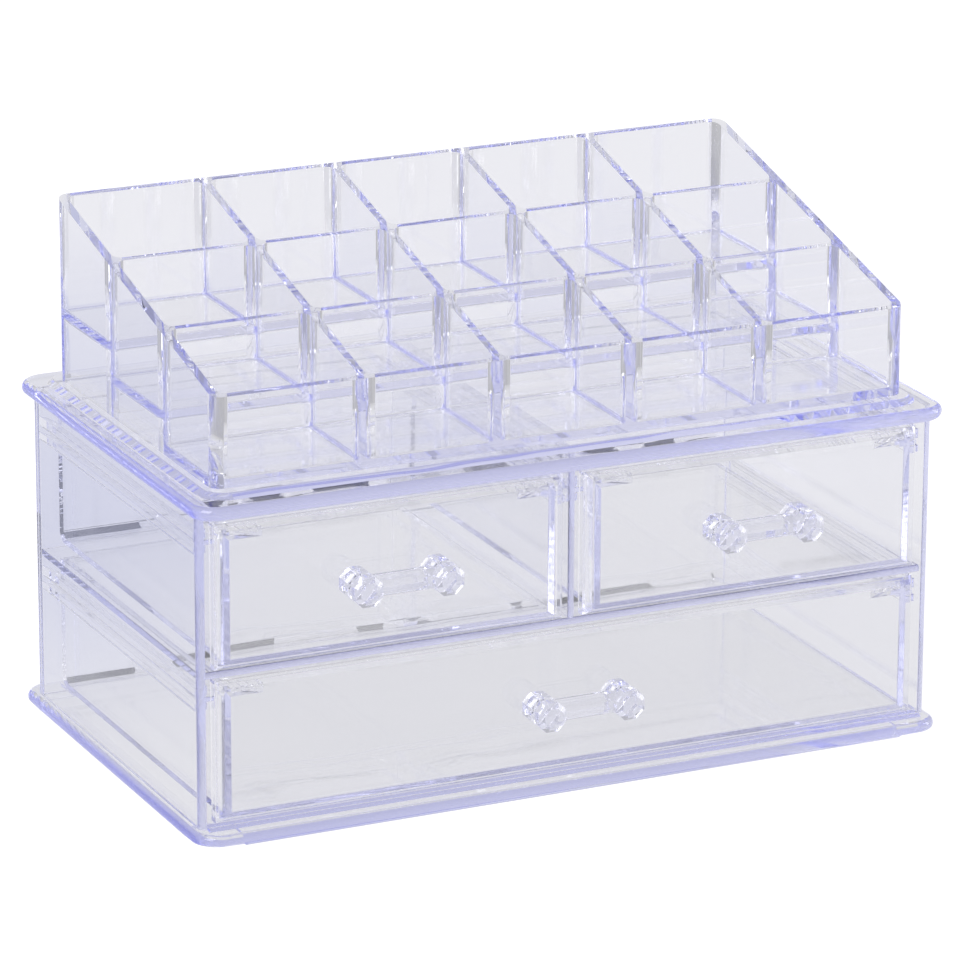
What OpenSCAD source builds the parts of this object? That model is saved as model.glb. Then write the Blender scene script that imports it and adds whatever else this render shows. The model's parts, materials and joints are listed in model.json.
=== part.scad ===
// Clear desk organizer: a two-storey drawer cabinet with a loose compartment tray standing on it.
// +X is to the right, +Y to the back and +Z up. The origin lies on the table, under the middle of
// the cabinet's plates. All sizes are in millimetres.

/* [Cabinet] */
// Width of the top and base plates
plate_w = 238; // [230:1:260]
// Depth of the top and base plates
plate_d = 142.2; // [138:0.2:160]
// Thickness of the top plate
top_t = 4.2; // [3.6:0.1:5]
// Thickness of the base plate, foot strips included
base_t = 4.1; // [3.6:0.1:5]
// Plan corner radius of both plates
plate_corner_r = 8; // [6:0.5:12]
// Clear height between the two plates
shell_h = 93; // [90:1:110]
// Clear height of the lower bay
lower_bay_h = 44.25; // [43:0.25:46]
// Thickness of the side walls
wall_t = 2.3; // [2.1:0.1:3]
// Thickness of the back wall
back_t = 2; // [1.6:0.1:3]
// Thickness of the shelf between the two storeys
shelf_t = 2.25; // [1.8:0.05:2.5]
// Thickness of the divider between the two upper drawers
divider_t = 2; // [1.6:0.1:2.4]
// Height of the raised pad on the top plate
pad_h = 1.5; // [0.8:0.1:2.5]

/* [Drawers] */
// Distance from the plates' front edge back to the drawer faces
face_setback = 5.2; // [3.5:0.1:6]
// Thickness of a drawer's front plate
face_t = 2.2; // [1.6:0.1:2.5]
// Thickness of a drawer tub's side walls
tub_side_t = 2.1; // [1.4:0.1:2.4]
// Thickness of a drawer tub's floor
tub_floor_t = 1.5; // [1:0.1:2]
// How far a guide rib stands out from its wall
rib_out = 2.5; // [2:0.1:2.5]

/* [Handles] */
// Distance between a handle's two posts
post_gap = 25; // [20:1:32]
// Width of a post across its flats
post_flats = 9; // [8:0.5:11]
// How far a handle stands out from its drawer face
post_len = 12; // [11:0.5:16]
// Width of the bar across its flats
bar_flats = 6.2; // [4.5:0.1:6.6]

/* [Tray] */
// Width of the tray
tray_w = 218.8; // [200:0.1:219]
// Depth of the tray
tray_d = 118; // [110:0.5:120]
// Height of the tray's front wall
tray_front_h = 26.7; // [24:0.1:32]
// Height of the tray's rear wall
tray_rear_h = 55.8; // [52:0.1:64]
// Rise from one row of compartments to the next
tray_step = 9.5; // [8:0.5:10]
// Thickness of the tray's side walls
tray_side_t = 2.7; // [1.8:0.1:3]
// Thickness of the tray's front and rear walls
tray_end_t = 1.8; // [1.4:0.1:2.4]
// Thickness of the partitions that run from front to rear
partition_t = 2.3; // [1.4:0.1:2.6]
// Thickness of the dividers between the rows
row_wall_t = 1.6; // [1.2:0.1:2]

/* [Hidden] */
$fn = 48;
CLEAR = [0.8, 0.79, 0.95, 0.5];
SIDES = [-1, 1];

// Cabinet: heights
base_z = base_t;
under_top_z = base_z + shell_h;
top_z = under_top_z + top_t;
pad_z = top_z + pad_h;
shelf_z0 = base_z + lower_bay_h;
shelf_z1 = shelf_z0 + shelf_t;

// Cabinet: plan. The plates stand out past the walls on every side.
side_overhang = 2.4;
front_overhang = 7.2;
rear_overhang = 10.2;
wall_x1 = plate_w / 2 - side_overhang;
wall_x0 = wall_x1 - wall_t;
wall_y0 = -plate_d / 2 + front_overhang;
wall_y1 = plate_d / 2 - rear_overhang;
bay_y1 = wall_y1 - back_t;
shelf_setback = 0.9;
shelf_y0 = wall_y0 + shelf_setback;
wall_round = 2;

// The base plate is relieved under its corners, which leaves a foot strip along each side.
relief_h = 1;
relief_len = 14;

// Raised pad on the top plate, with sloping sides
pad_inset_x = 5.4;
pad_inset_y = 6.3;
pad_slope = 2;
pad_corner_r = 8;

// Sill: two low beads on the base plate in front of the lower drawer
sill_h = 0.85;
sill_half_w = 1.5;
sill_y = wall_y0 + 0.6;

// Guide ribs come in pairs. A drawer's runner slides in the channel between them.
channel_up = 36.4;
channel_h = 2;
rib_under_h = 2.2;
rib_over_h = 3;
rib_y0 = wall_y0 + 4.2;
rib_lead = 6;
rib_nose = 0.8;
rib_tip = 0.3;

// Drawer fronts: a plate with a steep bevel all round and a straight skirt behind it
face_y = -plate_d / 2 + face_setback;
bevel_in = 1.85;
bevel_deep = 2.7;
skirt_deep = 2.9;
skirt_t = 1.2;
front_x1 = wall_x0 - 2.8;
front_x0 = divider_t / 2 + 2.2;
low_front_z = [base_z + 1.25, shelf_z0 - 0.35];
high_front_z = [shelf_z1 + 0.45, under_top_z - 2.8];

// Drawer tubs, open at the front end, where the front plate closes them
tub_in_wall = 2.5;
tub_in_divider = 3.1;
tub_up = 1.65;
tub_down = 2.3;
tub_y0 = face_y + face_t;
tub_y1 = bay_y1 - 1.4;
tub_back_t = 1.9;
tub_round = 4;

// Runners: flat flanges on both sides of a tub
runner_gap = 0.4;
runner_t = 1.5;
runner_y0 = face_y + bevel_deep + skirt_deep + 0.7;
runner_y1 = tub_y1 - 2.5;
runner_lead = 4;

// Gussets: ridged corner plates between a tub's side walls and its front
gusset_leg = 10;
gusset_t = 1.4;
gusset_down = 2.6;
ridge_w = 1;
ridge_h = 0.6;
ridge_pitch = 1.9;

// Handles: octagonal posts with a groove and a bar between them
peg_r = 1.5;
peg_hole_r = 1.6;
peg_len = face_t + 0.6;
post_r = post_flats / 2 / cos(22.5);
groove_r = 3.3;
groove_z = 7;
groove_half = 1;
nose_r = 3.15;
nose_h = 1.3;
dimple_r = 1.9;
dimple_h = 0.4;
bar_out = 5.6;

// Tray
tray_y0 = -58.9;
tray_y1 = tray_y0 + tray_d;
tray_corner_r = 3.5;
cell_corner_r = 2.5;
tray_floor_t = 2.2;
columns = 5;
rows = 3;
// The two end columns are a little wider than the rest.
end_extra = 4.6;
cell_pitch_x = (tray_w - 2 * end_extra) / columns;
// The front row is a little shallower than the other two.
front_row_d = tray_d * 0.327;
rear_row_d = (tray_d - front_row_d) / (rows - 1);
row_y = [for (i = [0:rows]) tray_y0 + (i == 0 ? 0 : front_row_d + (i - 1) * rear_row_d)];

// ---------- Shared shapes ----------

// Half-way between the two ends of a span
function middle(span) = (span[0] + span[1]) / 2;

// A rectangle with round corners, centred
module rounded(w, d, r) {
    square([w - 2 * r, d], center = true);
    square([w, d - 2 * r], center = true);
    for (x = SIDES, y = SIDES)
        translate([x * (w / 2 - r), y * (d / 2 - r)])
            circle(r);
}

// Carries a 2D profile once round a rounded rectangle. The profile's x points outward, its y up.
module around(w, d, r) {
    for (k = [0:3]) {
        across = k % 2 == 0 ? w : d;
        along = k % 2 == 0 ? d : w;
        rotate([0, 0, 90 * k]) {
            translate([across / 2, along / 2 - r, 0])
                rotate([90, 0, 0])
                    linear_extrude(along - 2 * r)
                        children();
            translate([across / 2 - r, along / 2 - r, 0])
                rotate_extrude(angle = 90)
                    translate([r, 0])
                        children();
        }
    }
}

// The outer half of a disc of diameter t that stands on y = 0
module half_disc(t) {
    intersection() {
        translate([0, t / 2])
            circle(t / 2);
        square([t, t]);
    }
}

// A plate with fully rounded edges
module bullnose_plate(w, d, t, r) {
    linear_extrude(t)
        rounded(w - t, d - t, r - t / 2);
    around(w - t, d - t, r - t / 2)
        half_disc(t);
}

// Extrudes a 2D outline drawn in Y and Z along X, from x0 to x1
module along_x(x0, x1) {
    translate([x0, 0, 0])
        rotate([90, 0, 90])
            linear_extrude(x1 - x0)
                children();
}

// A block between two corners
module block(x, y, z) {
    translate([x[0], y[0], z[0]])
        cube([x[1] - x[0], y[1] - y[0], z[1] - z[0]]);
}

// The two guide ribs above a bay floor, standing out to +X from the plane x = 0
module guide_ribs(bay_floor) {
    channel_z = bay_floor + channel_up;
    for (rib = [[channel_z - rib_under_h, rib_under_h], [channel_z + channel_h, rib_over_h]])
        translate([0, 0, rib[0]])
            linear_extrude(rib[1])
                polygon([
                    [0, rib_y0],
                    [rib_out - rib_nose, rib_y0],
                    [rib_out, rib_y0 + rib_nose],
                    [rib_out, bay_y1 - rib_lead],
                    [rib_tip, bay_y1],
                    [0, bay_y1]
                ]);
}

// ---------- Cabinet ----------

module top_plate() {
    pad_w = plate_w - 2 * (pad_inset_x + pad_slope);
    pad_d = plate_d - 2 * (pad_inset_y + pad_slope);
    pad_r = pad_corner_r - pad_slope;
    color(CLEAR) {
        translate([0, 0, under_top_z])
            bullnose_plate(plate_w, plate_d, top_t, plate_corner_r);
        translate([0, 0, top_z]) {
            linear_extrude(pad_h)
                rounded(pad_w, pad_d, pad_r);
            around(pad_w, pad_d, pad_r)
                polygon([[0, 0], [pad_slope, 0], [0, pad_h]]);
        }
    }
}

module base_plate() {
    relief_x = [plate_w / 2 - relief_len, plate_w];
    relief_y = [plate_d / 2 - relief_len, plate_d];
    color(CLEAR) {
        difference() {
            bullnose_plate(plate_w, plate_d, base_t, plate_corner_r);
            for (x = [0, 1], y = [0, 1])
                mirror([x, 0, 0])
                    mirror([0, y, 0])
                        block(relief_x, relief_y, [-1, relief_h]);
        }
        for (side = SIDES)
            along_x(-wall_x0, wall_x0)
                translate([sill_y + side * sill_half_w, base_z])
                    intersection() {
                        translate([0, sill_h - sill_half_w])
                            circle(sill_half_w);
                        translate([-sill_half_w, 0])
                            square([2 * sill_half_w, sill_h]);
                    }
    }
}

module side_wall() {
    depth = wall_y1 - wall_y0;
    color(CLEAR) {
        translate([wall_x0, wall_y0, base_z])
            linear_extrude(shell_h)
                intersection() {
                    square([wall_t, depth]);
                    union() {
                        translate([0, wall_round])
                            square([wall_t, depth]);
                        square([wall_t - wall_round, depth]);
                        translate([wall_t - wall_round, wall_round])
                            circle(wall_round);
                    }
                }
        for (bay_floor = [base_z, shelf_z1])
            translate([wall_x0, 0, 0])
                mirror([1, 0, 0])
                    guide_ribs(bay_floor);
    }
}

module right_wall() {
    side_wall();
}

module left_wall() {
    mirror([1, 0, 0])
        side_wall();
}

module back_wall() {
    color(CLEAR)
        block([-wall_x0, wall_x0], [bay_y1, wall_y1], [base_z, under_top_z]);
}

module middle_shelf() {
    color(CLEAR)
        along_x(-wall_x0, wall_x0) {
            translate([shelf_y0 + shelf_t / 2, shelf_z0])
                square([bay_y1 - shelf_y0 - shelf_t / 2, shelf_t]);
            translate([shelf_y0 + shelf_t / 2, shelf_z0])
                mirror([1, 0])
                    half_disc(shelf_t);
        }
}

module centre_divider() {
    color(CLEAR) {
        translate([0, 0, shelf_z1])
            linear_extrude(under_top_z - shelf_z1) {
                translate([-divider_t / 2, shelf_y0 + divider_t / 2])
                    square([divider_t, bay_y1 - shelf_y0 - divider_t / 2]);
                translate([-divider_t / 2, shelf_y0 + divider_t / 2])
                    rotate(-90)
                        half_disc(divider_t);
            }
        for (side = [0, 1])
            mirror([side, 0, 0])
                translate([divider_t / 2, 0, 0])
                    guide_ribs(shelf_z1);
    }
}

// ---------- Drawers ----------

// A bevelled front plate that spans x and z, with two peg holes for the handle
module drawer_front(x, z) {
    bevel_y = face_y + bevel_deep;
    back_y = bevel_y + skirt_deep;
    color(CLEAR)
        difference() {
            intersection() {
                translate([0, 0, z[0]])
                    linear_extrude(z[1] - z[0])
                        polygon([
                            [x[0] + bevel_in, face_y],
                            [x[1] - bevel_in, face_y],
                            [x[1], bevel_y],
                            [x[1], back_y],
                            [x[0], back_y],
                            [x[0], bevel_y]
                        ]);
                along_x(x[0], x[1])
                    polygon([
                        [face_y, z[0] + bevel_in],
                        [bevel_y, z[0]],
                        [back_y, z[0]],
                        [back_y, z[1]],
                        [bevel_y, z[1]],
                        [face_y, z[1] - bevel_in]
                    ]);
            }
            block(
                [x[0] + skirt_t, x[1] - skirt_t],
                [face_y + face_t, back_y + 1],
                [z[0] + skirt_t, z[1] - skirt_t]
            );
            for (side = SIDES)
                translate([middle(x) + side * post_gap / 2, face_y + face_t + 1, middle(z)])
                    rotate([90, 0, 0])
                        cylinder(h = face_t + 2, r = peg_hole_r);
        }
}

// The side view of a tub: a rectangle in Y and Z whose bottom rear corner is round
module tub_side_view(y, z, r) {
    translate([y[0], z[0] + r])
        square([y[1] - y[0], z[1] - z[0] - r]);
    translate([y[0], z[0]])
        square([y[1] - y[0] - r, r]);
    translate([y[1] - r, z[0] + r])
        circle(r);
}

// A ridged corner plate with its right angle at the origin and its legs along +X and +Y
module gusset() {
    linear_extrude(gusset_t)
        polygon([[0, 0], [gusset_leg, 0], [0, gusset_leg]]);
    for (i = [0:2]) {
        leg = gusset_leg - i * ridge_pitch * sqrt(2);
        inner_leg = leg - ridge_w * sqrt(2);
        translate([0, 0, gusset_t])
            linear_extrude(ridge_h)
                polygon([[inner_leg, 0], [leg, 0], [0, leg], [0, inner_leg]]);
    }
}

// A tub between x[0] and x[1], with runners that reach out to runner_x[0] and runner_x[1]
module drawer_tub(x, z, runner_x, runner_z) {
    floor_z = z[0] + tub_up;
    rim_z = z[1] - tub_down;
    inside = [x[0] + tub_side_t, x[1] - tub_side_t];
    color(CLEAR) {
        difference() {
            along_x(x[0], x[1])
                tub_side_view([tub_y0, tub_y1], [floor_z, rim_z], tub_round);
            along_x(inside[0], inside[1])
                tub_side_view(
                    [tub_y0 - 1, tub_y1 - tub_back_t],
                    [floor_z + tub_floor_t, rim_z + 1],
                    tub_round - tub_back_t
                );
        }
        for (side = [0, 1])
            translate([0, 0, runner_z])
                linear_extrude(runner_t)
                    polygon([
                        [x[side], runner_y0],
                        [runner_x[side], runner_y0],
                        [runner_x[side], runner_y1 - runner_lead],
                        [x[side], runner_y1]
                    ]);
        translate([inside[0], tub_y0, rim_z - gusset_down])
            gusset();
        translate([inside[1], tub_y0, rim_z - gusset_down])
            mirror([1, 0, 0])
                gusset();
    }
}

// One post, standing on z = 0
module handle_post() {
    rotate([0, 0, 22.5])
        rotate_extrude($fn = 8)
            polygon([
                [0, 0],
                [post_r, 0],
                [post_r, groove_z - groove_half],
                [groove_r, groove_z],
                [post_r, groove_z + groove_half],
                [post_r, post_len - nose_h],
                [nose_r, post_len],
                [dimple_r, post_len],
                [0, post_len - dimple_h]
            ]);
}

// A handle with its middle at x and z on the drawer face
module drawer_handle(x, z) {
    color(CLEAR)
        translate([x, face_y, middle(z)])
            rotate([90, 0, 0]) {
                for (side = SIDES)
                    translate([side * post_gap / 2, 0, 0]) {
                        handle_post();
                        translate([0, 0, -peg_len])
                            cylinder(h = peg_len, r = peg_r);
                    }
                translate([-post_gap / 2, 0, bar_out])
                    rotate([0, 90, 0])
                        rotate([0, 0, 22.5])
                            cylinder(h = post_gap, r = bar_flats / 2 / cos(22.5), $fn = 8);
            }
}

module high_tub() {
    drawer_tub(
        [front_x0 + tub_in_divider, front_x1 - tub_in_wall],
        high_front_z,
        [divider_t / 2 + runner_gap, wall_x0 - runner_gap],
        shelf_z1 + channel_up + (channel_h - runner_t) / 2
    );
}

module drawer_right_tub() {
    high_tub();
}

module drawer_right_front() {
    drawer_front([front_x0, front_x1], high_front_z);
}

module drawer_right_handle() {
    drawer_handle(middle([front_x0, front_x1]), high_front_z);
}

module drawer_left_tub() {
    mirror([1, 0, 0])
        high_tub();
}

module drawer_left_front() {
    drawer_front([-front_x1, -front_x0], high_front_z);
}

module drawer_left_handle() {
    drawer_handle(-middle([front_x0, front_x1]), high_front_z);
}

module drawer_wide_tub() {
    tub_x = front_x1 - tub_in_wall;
    runner_x = wall_x0 - runner_gap;
    drawer_tub(
        [-tub_x, tub_x],
        low_front_z,
        [-runner_x, runner_x],
        base_z + channel_up + (channel_h - runner_t) / 2
    );
}

module drawer_wide_front() {
    drawer_front([-front_x1, front_x1], low_front_z);
}

module drawer_wide_handle() {
    drawer_handle(0, low_front_z);
}

// ---------- Tray ----------

// Left and right faces of column c, counted from the left
function column_x(c) = [
    c == 0 ? -tray_w / 2 + tray_side_t : (c - columns / 2) * cell_pitch_x + partition_t / 2,
    c == columns - 1 ? tray_w / 2 - tray_side_t : (c + 1 - columns / 2) * cell_pitch_x - partition_t / 2
];

// Front and rear faces of row r, counted from the front
function row_span(r) = [
    row_y[r] + (r == 0 ? tray_end_t : row_wall_t / 2),
    row_y[r + 1] - (r == rows - 1 ? tray_end_t : row_wall_t / 2)
];

// A vertical prism with round corners between x[0] and x[1], y[0] and y[1], z[0] and z[1]
module well(x, y, z, r) {
    translate([middle(x), middle(y), z[0]])
        linear_extrude(z[1] - z[0])
            rounded(x[1] - x[0], y[1] - y[0], r);
}

module organizer_tray() {
    half_w = tray_w / 2;
    inner_x = half_w - tray_side_t;
    color(CLEAR)
        translate([0, 0, pad_z])
            difference() {
                intersection() {
                    well([-half_w, half_w], [tray_y0, tray_y1], [0, tray_rear_h], tray_corner_r);
                    along_x(-half_w, half_w)
                        polygon([
                            [tray_y0, 0],
                            [tray_y1, 0],
                            [tray_y1, tray_rear_h],
                            [tray_y0, tray_front_h]
                        ]);
                }
                for (r = [0:rows - 1], c = [0:columns - 1])
                    well(
                        column_x(c),
                        row_span(r),
                        [r * tray_step + tray_floor_t, tray_rear_h + 1],
                        cell_corner_r
                    );
                for (r = [1:rows - 1])
                    well([-inner_x, inner_x], row_span(r), [-1, r * tray_step], cell_corner_r);
            }
}

top_plate();
base_plate();
left_wall();
right_wall();
back_wall();
middle_shelf();
centre_divider();
drawer_left_tub();
drawer_left_front();
drawer_left_handle();
drawer_right_tub();
drawer_right_front();
drawer_right_handle();
drawer_wide_tub();
drawer_wide_front();
drawer_wide_handle();
organizer_tray();
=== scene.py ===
"""Clear plastic desk organizer: finish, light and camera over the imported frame. Metres."""

import json
import math

import bmesh
import bpy
from mathutils import Matrix, Vector

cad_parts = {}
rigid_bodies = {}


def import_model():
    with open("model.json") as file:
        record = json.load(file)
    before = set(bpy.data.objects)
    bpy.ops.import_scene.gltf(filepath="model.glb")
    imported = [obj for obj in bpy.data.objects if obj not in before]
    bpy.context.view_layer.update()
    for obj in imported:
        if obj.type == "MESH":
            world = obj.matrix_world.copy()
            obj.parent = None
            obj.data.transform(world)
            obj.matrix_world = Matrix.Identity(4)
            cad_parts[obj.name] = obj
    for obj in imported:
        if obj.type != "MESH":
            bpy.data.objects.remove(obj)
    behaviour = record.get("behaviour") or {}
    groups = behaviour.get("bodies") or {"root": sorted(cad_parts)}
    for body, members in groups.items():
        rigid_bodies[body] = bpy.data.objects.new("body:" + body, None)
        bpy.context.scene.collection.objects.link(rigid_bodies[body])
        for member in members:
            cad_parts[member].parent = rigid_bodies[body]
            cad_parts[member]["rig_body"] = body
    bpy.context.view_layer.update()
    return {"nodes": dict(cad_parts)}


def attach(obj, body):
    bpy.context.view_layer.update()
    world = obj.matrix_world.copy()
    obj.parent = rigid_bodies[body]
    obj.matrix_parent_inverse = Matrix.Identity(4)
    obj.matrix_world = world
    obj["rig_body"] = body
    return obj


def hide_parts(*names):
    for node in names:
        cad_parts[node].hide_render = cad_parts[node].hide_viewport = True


MM = 0.001
WHITE = (1.0, 1.0, 1.0, 1.0)
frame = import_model()
scene = bpy.context.scene


# ---------- Materials ----------


def clear_plastic(name, wave, wave_scale, haze, density):
    """Polished clear styrene: slow moulding waves, fine wear in the gloss, and a violet body tint.

    wave is the height of the waves in metres and wave_scale their number per metre. haze is the
    most that handling marks roughen the gloss. density is the strength of the body tint.
    """
    material = bpy.data.materials.new(name)
    material.use_nodes = True
    nodes = material.node_tree.nodes
    links = material.node_tree.links
    nodes.clear()
    out = nodes.new("ShaderNodeOutputMaterial")
    shader = nodes.new("ShaderNodeBsdfPrincipled")
    shader.inputs["Base Color"].default_value = WHITE
    shader.inputs["Transmission Weight"].default_value = 1.0
    shader.inputs["IOR"].default_value = STYRENE_IOR
    links.new(shader.outputs["BSDF"], out.inputs["Surface"])
    absorb = nodes.new("ShaderNodeVolumeAbsorption")
    absorb.inputs["Color"].default_value = (*BODY_TINT, 1.0)
    absorb.inputs["Density"].default_value = density
    links.new(absorb.outputs["Volume"], out.inputs["Volume"])
    coords = nodes.new("ShaderNodeTexCoord")
    waves = nodes.new("ShaderNodeTexNoise")
    waves.inputs["Scale"].default_value = wave_scale
    waves.inputs["Detail"].default_value = 1.0
    links.new(coords.outputs["Object"], waves.inputs["Vector"])
    bump = nodes.new("ShaderNodeBump")
    bump.inputs["Strength"].default_value = 1.0
    bump.inputs["Distance"].default_value = wave
    links.new(waves.outputs["Fac"], bump.inputs["Height"])
    links.new(bump.outputs["Normal"], shader.inputs["Normal"])
    marks = nodes.new("ShaderNodeTexNoise")
    marks.inputs["Scale"].default_value = MARKS_SCALE
    marks.inputs["Detail"].default_value = MARKS_DETAIL
    links.new(coords.outputs["Object"], marks.inputs["Vector"])
    wear = nodes.new("ShaderNodeMapRange")
    wear.inputs["From Min"].default_value = MARKS_START
    wear.inputs["From Max"].default_value = MARKS_FULL
    wear.inputs["To Min"].default_value = 0.0
    wear.inputs["To Max"].default_value = haze
    links.new(marks.outputs["Fac"], wear.inputs["Value"])
    links.new(wear.outputs["Result"], shader.inputs["Roughness"])
    return material


STYRENE_IOR = 1.57
BODY_TINT = (0.60, 0.617, 0.985)

# Handling marks: how many per metre, how fine, and where in the noise they start and are full
MARKS_SCALE = 9.0
MARKS_DETAIL = 6.0
MARKS_START = 0.55
MARKS_FULL = 0.75

FINISH = {
    "cabinet": clear_plastic("clear_cabinet", wave=0.10 * MM, wave_scale=26.0, haze=0.02, density=4.0),
    "tub": clear_plastic("clear_tub", wave=0.22 * MM, wave_scale=26.0, haze=0.05, density=4.4),
    "front": clear_plastic("clear_front", wave=0.36 * MM, wave_scale=20.0, haze=0.12, density=4.4),
    "handle": clear_plastic("clear_handle", wave=0.01 * MM, wave_scale=60.0, haze=0.01, density=14.0),
    "tray": clear_plastic("clear_tray", wave=0.12 * MM, wave_scale=26.0, haze=0.02, density=10.0),
}


# ---------- Pieces ----------

# How far each skin lies inside its solid, so that touching pieces don't share a face
SKIN_GAP = 0.03 * MM
# Vertices closer than this are one
SAME_PLACE = 0.002 * MM
# Faces that turn by less than this are one flat face
FLAT = math.radians(0.5)
# A face wider than this is a side of its own, and not a facet of a curved side
WIDE = 1.3 * MM
ROUND_PROFILE = 0.5


def corner_angle(edge):
    return edge.calc_face_angle() if len(edge.link_faces) == 2 else 0.0


def is_flat(face, sharp):
    """True for a face of a flat side, and false for a facet of a curved one."""
    longest = max(edge.calc_length() for edge in face.edges)
    if face.calc_area() > WIDE * longest:
        return True
    return not any(FLAT < corner_angle(edge) < sharp for edge in face.edges)


def round_edges(shape, flat, edges, radius, segments):
    made = bmesh.ops.bevel(
        shape, geom=edges, offset=radius, segments=segments, profile=ROUND_PROFILE,
        affect="EDGES", offset_type="OFFSET", clamp_overlap=True,
    )
    for face in made["faces"]:
        face[flat] = 0


def shading_normals(mesh, flat_faces):
    """Flat sides shade flat, and the rounded edges between them blend from one side to the next."""
    largest = {}
    for index in flat_faces:
        face = mesh.polygons[index]
        for vertex in face.vertices:
            if vertex not in largest or face.area > mesh.polygons[largest[vertex]].area:
                largest[vertex] = index
    flat_set = set(flat_faces)
    normals = []
    for face in mesh.polygons:
        for loop in face.loop_indices:
            vertex = mesh.loops[loop].vertex_index
            if face.index in flat_set:
                normals.append(face.normal.copy())
            elif vertex in largest:
                normals.append(mesh.polygons[largest[vertex]].normal.copy())
            else:
                normals.append(mesh.vertices[vertex].normal.copy())
    mesh.normals_split_custom_set(normals)


def polished(node, outer=0.35, inner=0.0, segments=3, curve=28):
    """The node's own shape with merged flat faces and rounded edges.

    outer and inner are the rounding radii in millimetres of the edges that stick out and of the
    ones that lie in a corner. An edge with a radius of 0 stays sharp. Faces that turn by less
    than curve degrees from one to the next belong to one curved side.
    """
    sharp = math.radians(curve)
    source = frame["nodes"][node]
    mesh = bpy.data.meshes.new("clear_" + node)
    shape = bmesh.new()
    shape.from_mesh(source.data)
    bmesh.ops.remove_doubles(shape, verts=shape.verts, dist=SAME_PLACE)
    bmesh.ops.dissolve_limit(shape, angle_limit=FLAT, verts=shape.verts, edges=shape.edges)
    flat = shape.faces.layers.int.new("flat")
    for face in shape.faces:
        face[flat] = int(is_flat(face, sharp))
    for convex, radius in ((False, inner), (True, outer)):
        edges = [e for e in shape.edges if corner_angle(e) > sharp and e.is_convex == convex]
        if radius > 0 and edges:
            round_edges(shape, flat, edges, radius * MM, segments)
    bmesh.ops.recalc_face_normals(shape, faces=shape.faces)
    shape.normal_update()
    for vertex in shape.verts:
        vertex.co -= vertex.normal * SKIN_GAP
    for face in shape.faces:
        face.smooth = True
    flat_faces = [i for i, face in enumerate(shape.faces) if face[flat]]
    shape.faces.layers.int.remove(flat)
    shape.to_mesh(mesh)
    shape.free()
    shading_normals(mesh, flat_faces)
    piece = bpy.data.objects.new("clear_" + node, mesh)
    scene.collection.objects.link(piece)
    kind = next((k for k in FINISH if node.endswith(k)), "cabinet")
    mesh.materials.append(FINISH[kind])
    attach(piece, source["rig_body"])
    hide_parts(node)
    return piece


# Rounding of the pieces whose edges differ from the cabinet's
EDGES = {
    "handle": {"outer": 0.09, "segments": 1, "curve": 11},
    "tray": {"outer": 0.4, "inner": 0.9},
    "tub": {"outer": 0.25},
    "front": {"outer": 0.2, "segments": 2},
}

for name in frame["nodes"]:
    polished(name, **next((EDGES[k] for k in EDGES if name.endswith(k)), {}))


# ---------- Stage ----------

# Places of the colour sockets on a Mix node
MIX_A = 6
MIX_B = 7
MIX_COLOUR = 2

FLOOR_REACH = 8.0
FLOOR_DROP = 0.1 * MM
FLOOR_BODY = (0.15, 0.15, 0.15, 1)
FLOOR_ROUGHNESS = 0.9

# The floor's glow: as the camera sees it, as the plastic mirrors it or shows it through, and in one
# soft patch of painted shadow
GLOW_SEEN = (1.01, 1.01, 1.05, 1)
GLOW_MIRRORED = (0.735, 0.735, 0.77, 1)
# Painted shadow on the floor: its darker bluish glow, where it is centred, and how far it fades out
GLOW_PAINTED_SHADOW = (0.44, 0.46, 0.64, 1)
PAINTED_SHADOW_PLACE = (-0.25, 0.30, 0.0)
PAINTED_SHADOW_CORE = 0.08
PAINTED_SHADOW_REACH = 0.36


def floor():
    """A pale floor, just under the object, with a patch of painted shadow behind its left side."""
    mesh = bpy.data.meshes.new("floor")
    corners = [(-1, -1), (1, -1), (1, 1), (-1, 1)]
    mesh.from_pydata(
        [(x * FLOOR_REACH, y * FLOOR_REACH, -FLOOR_DROP) for x, y in corners], [], [(0, 1, 2, 3)],
    )
    piece = bpy.data.objects.new("floor", mesh)
    scene.collection.objects.link(piece)
    material = bpy.data.materials.new("pale_floor")
    material.use_nodes = True
    nodes = material.node_tree.nodes
    links = material.node_tree.links
    shader = nodes["Principled BSDF"]
    shader.inputs["Base Color"].default_value = FLOOR_BODY
    shader.inputs["Roughness"].default_value = FLOOR_ROUGHNESS
    shader.inputs["Specular IOR Level"].default_value = 0.0
    shader.inputs["Emission Strength"].default_value = 1.0
    path = nodes.new("ShaderNodeLightPath")
    coords = nodes.new("ShaderNodeTexCoord")
    away = nodes.new("ShaderNodeVectorMath")
    away.operation = "DISTANCE"
    away.inputs[1].default_value = PAINTED_SHADOW_PLACE
    links.new(coords.outputs["Object"], away.inputs[0])
    fade_out = nodes.new("ShaderNodeMapRange")
    fade_out.interpolation_type = "SMOOTHSTEP"
    fade_out.inputs["From Min"].default_value = PAINTED_SHADOW_CORE
    fade_out.inputs["From Max"].default_value = PAINTED_SHADOW_REACH
    links.new(away.outputs["Value"], fade_out.inputs["Value"])
    # Painted shadow: the glow turns darker and bluish in a soft patch behind the object's left side
    shade = nodes.new("ShaderNodeMix")
    shade.data_type = "RGBA"
    shade.inputs[MIX_A].default_value = GLOW_PAINTED_SHADOW
    shade.inputs[MIX_B].default_value = GLOW_MIRRORED
    links.new(fade_out.outputs["Result"], shade.inputs["Factor"])
    glow = nodes.new("ShaderNodeMix")
    glow.data_type = "RGBA"
    glow.inputs[MIX_B].default_value = GLOW_SEEN
    links.new(path.outputs["Is Camera Ray"], glow.inputs["Factor"])
    links.new(shade.outputs[MIX_COLOUR], glow.inputs[MIX_A])
    links.new(glow.outputs[MIX_COLOUR], shader.inputs["Emission Color"])
    mesh.materials.append(material)


floor()

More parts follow.
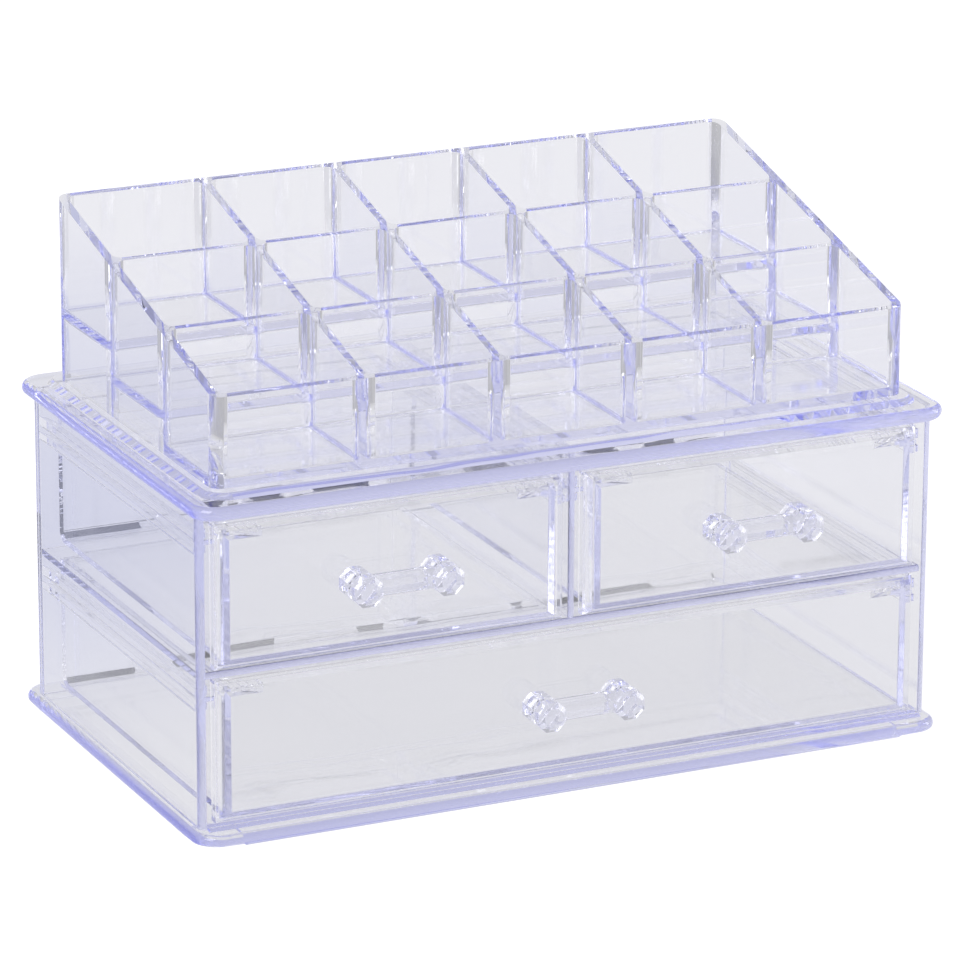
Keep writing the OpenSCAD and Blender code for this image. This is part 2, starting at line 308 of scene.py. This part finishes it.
# The surroundings: bright near the horizon and dimmer overhead, by the height of the direction
AROUND = (0.962, 0.962, 1, 1)
HORIZON_STRENGTH = 0.82
OVERHEAD_STRENGTH = 0.50
DIMMING_STARTS = 0.1
DIMMING_ENDS = 0.8


def surroundings():
    """The sky-like light that the plastic mirrors and that shines through it."""
    world = bpy.data.worlds.new("studio")
    scene.world = world
    world.use_nodes = True
    nodes = world.node_tree.nodes
    links = world.node_tree.links
    background = nodes["Background"]
    background.inputs["Color"].default_value = AROUND
    direction = nodes.new("ShaderNodeTexCoord")
    axes = nodes.new("ShaderNodeSeparateXYZ")
    fade = nodes.new("ShaderNodeMapRange")
    fade.inputs["From Min"].default_value = DIMMING_STARTS
    fade.inputs["From Max"].default_value = DIMMING_ENDS
    fade.inputs["To Min"].default_value = HORIZON_STRENGTH
    fade.inputs["To Max"].default_value = OVERHEAD_STRENGTH
    links.new(direction.outputs["Generated"], axes.inputs[0])
    links.new(axes.outputs["Z"], fade.inputs["Value"])
    links.new(fade.outputs[0], background.inputs["Strength"])


surroundings()

# The middle of the object, which the lamps face
LIT_POINT = Vector((0, 0, 0.08))


def softbox(name, place, width, height, radiance):
    """A soft rectangular lamp at place that faces the object."""
    data = bpy.data.lights.new(name, "AREA")
    data.shape = "RECTANGLE"
    data.size = width
    data.size_y = height
    data.energy = radiance * math.pi * width * height
    lamp = bpy.data.objects.new(name, data)
    lamp.location = place
    lamp.rotation_euler = (LIT_POINT - Vector(place)).to_track_quat("-Z", "Y").to_euler()
    scene.collection.objects.link(lamp)


softbox("key_light", place=(-1.3, -0.7, 1.5), width=1.2, height=1.2, radiance=4.0)
softbox("side_light", place=(1.7, -0.3, 0.7), width=0.5, height=1.2, radiance=3.0)


# ---------- Camera ----------

CAMERA_AZIMUTH = 25.166
CAMERA_ELEVATION = 17.975
CAMERA_ROLL = 0.227
CAMERA_DISTANCE = 1.778121
CAMERA_TARGET = Vector((0.000302, 0.0, 0.073703))
SENSOR = 36
FOCAL = 225.7245


def camera():
    azimuth = math.radians(CAMERA_AZIMUTH)
    elevation = math.radians(CAMERA_ELEVATION)
    roll = math.radians(CAMERA_ROLL)
    back = Vector((
        -math.sin(azimuth) * math.cos(elevation),
        -math.cos(azimuth) * math.cos(elevation),
        math.sin(elevation),
    ))
    right = (-back).cross(Vector((0, 0, 1))).normalized()
    up = right.cross(-back)
    right_rolled = math.cos(roll) * right + math.sin(roll) * up
    up_rolled = -math.sin(roll) * right + math.cos(roll) * up
    data = bpy.data.cameras.new("camera")
    data.sensor_width = SENSOR
    data.lens = FOCAL
    piece = bpy.data.objects.new("camera", data)
    scene.collection.objects.link(piece)
    turn = Matrix((right_rolled, up_rolled, back)).transposed()
    piece.matrix_world = Matrix.Translation(CAMERA_TARGET + back * CAMERA_DISTANCE) @ turn.to_4x4()
    scene.camera = piece


camera()

scene.view_settings.view_transform = "Standard"
# Light inside a clear wall is mirrored many times before it leaves, and each time is a glossy bounce
BOUNCES = 110
STRAIGHT_BOUNCES = 16
scene.cycles.max_bounces = BOUNCES
scene.cycles.transmission_bounces = BOUNCES
scene.cycles.glossy_bounces = BOUNCES
scene.cycles.transparent_max_bounces = STRAIGHT_BOUNCES
scene.cycles.use_denoising = True
